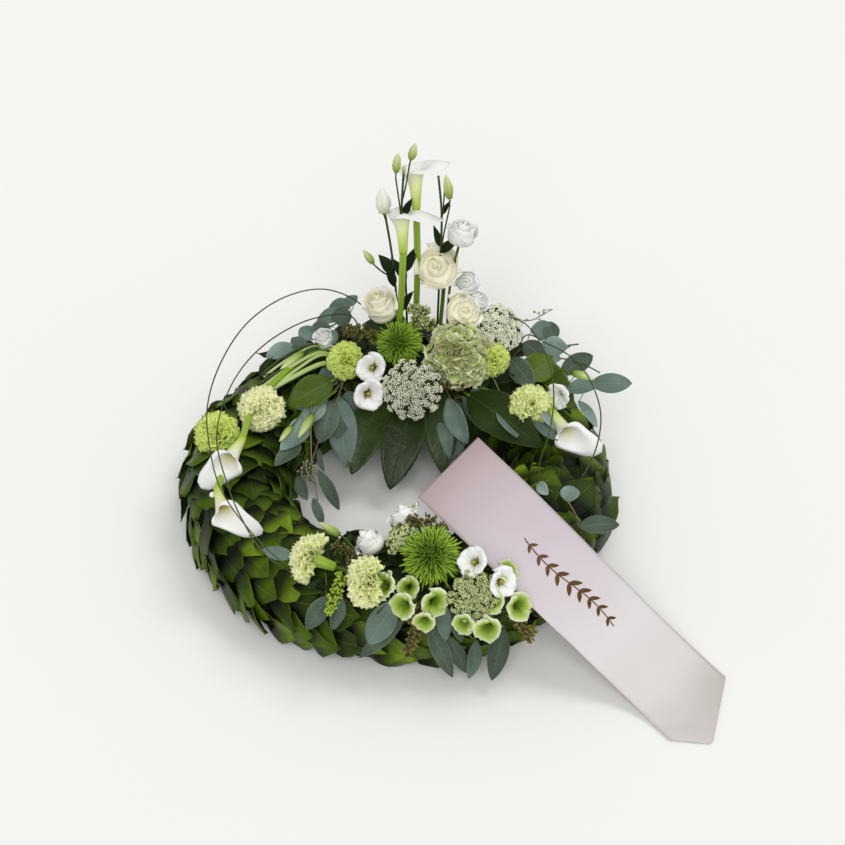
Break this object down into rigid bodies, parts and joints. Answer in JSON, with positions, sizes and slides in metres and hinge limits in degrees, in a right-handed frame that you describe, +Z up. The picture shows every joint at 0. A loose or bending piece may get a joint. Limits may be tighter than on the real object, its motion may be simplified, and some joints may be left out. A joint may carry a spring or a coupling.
{
  "type": "memorial wreath",
  "caption": "Funeral wreath: leaf-covered foam ring on a tray, with cream and green flower groups, eucalyptus, grass loops and a plain satin ribbon.",
  "frame": {"origin": "middle of the underside of the whole wreath's box, ribbon and outermost leaves included; the ring's own middle is 54 mm towards -X and 47 mm towards +Y from it", "axes": "+Z up from the resting surface, +Y towards the tall group of flowers, +X towards the side on which the ribbon runs out"},
  "size_m": [0.6112, 0.5976, 0.4013],
  "materials": {
    "satin": "pearl satin",
    "tray_plastic": "matte moulded",
    "floral_foam": "open-cell foam",
    "ivy_leaf": "waxy leaf",
    "glossy_leaf": "glossy leaf",
    "eucalyptus_leaf": "matte bloom on leaf",
    "steel_grass": "smooth stalk",
    "rose_petal": "velvety petal",
    "lisianthus_petal": "soft petal",
    "calla_spathe": "waxy spathe",
    "carnation_petal": "ruffled petal",
    "chrysanthemum_petal": "fine petals",
    "hydrangea_petal": "thin petal",
    "umbel_cream": "tiny florets",
    "umbel_green": "tiny buds",
    "bells_green": "soft petal",
    "bud_green": "smooth bud",
    "seed_brown": "dry seeds",
    "pearl": "pearl"
  },
  "bodies": {
    "root": {"satin_ribbon": "satin", "calla_tall": "calla_spathe", "calla_short": "calla_spathe", "calla_left_upper": "calla_spathe", "calla_left_lower": "calla_spathe", "calla_right": "calla_spathe", "bud_spray_tall": "bud_green", "bud_spray_left": "bud_green", "bud_spray_right": "bud_green", "grass_loop_left_outer": "steel_grass", "grass_loop_left_inner": "steel_grass", "grass_loop_right_inner": "steel_grass", "grass_loop_right_outer": "steel_grass", "rose_top": "rose_petal", "rose_left": "rose_petal", "rose_right": "rose_petal", "lisianthus_tall": "lisianthus_petal", "lisianthus_back_right": "lisianthus_petal", "lisianthus_far_left": "lisianthus_petal", "carnation_top_left": "carnation_petal", "carnation_top_right": "carnation_petal", "chrysanthemum_top": "chrysanthemum_petal", "hydrangea_top": "hydrangea_petal", "trachelium_middle": "umbel_cream", "trachelium_right": "umbel_cream", "carnation_left_upper": "carnation_petal", "carnation_left_lower": "carnation_petal", "carnation_right": "carnation_petal", "lisianthus_right": "lisianthus_petal", "carnation_front_left": "carnation_petal", "carnation_front_middle": "carnation_petal", "chrysanthemum_front": "chrysanthemum_petal", "sedum_left": "umbel_green", "sedum_right": "umbel_green", "lisianthus_left_pair": "lisianthus_petal", "lisianthus_front_pair": "lisianthus_petal", "lisianthus_hole_pair": "lisianthus_petal", "green_bells_left": "bells_green", "green_bells_right": "bells_green", "seed_cluster_front": "seed_brown", "seed_cluster_right": "seed_brown", "eucalyptus_back_left": "eucalyptus_leaf", "eucalyptus_hole_left": "eucalyptus_leaf", "eucalyptus_hole_hanging": "eucalyptus_leaf", "eucalyptus_hole_middle": "eucalyptus_leaf", "eucalyptus_right_front": "eucalyptus_leaf", "eucalyptus_right_back": "eucalyptus_leaf", "eucalyptus_right_low": "eucalyptus_leaf", "eucalyptus_front_left": "eucalyptus_leaf", "eucalyptus_front_right": "eucalyptus_leaf", "glossy_leaf_hole": "glossy_leaf", "glossy_leaf_hole_left": "glossy_leaf", "glossy_leaf_right": "glossy_leaf", "pearl_pin_left": "pearl", "pearl_pin_front": "pearl", "leaf_coat_right": "ivy_leaf", "leaf_coat_back": "ivy_leaf", "leaf_coat_left": "ivy_leaf", "foam_ring": "floral_foam", "base_tray": "tray_plastic"}
  },
  "joints": []
}
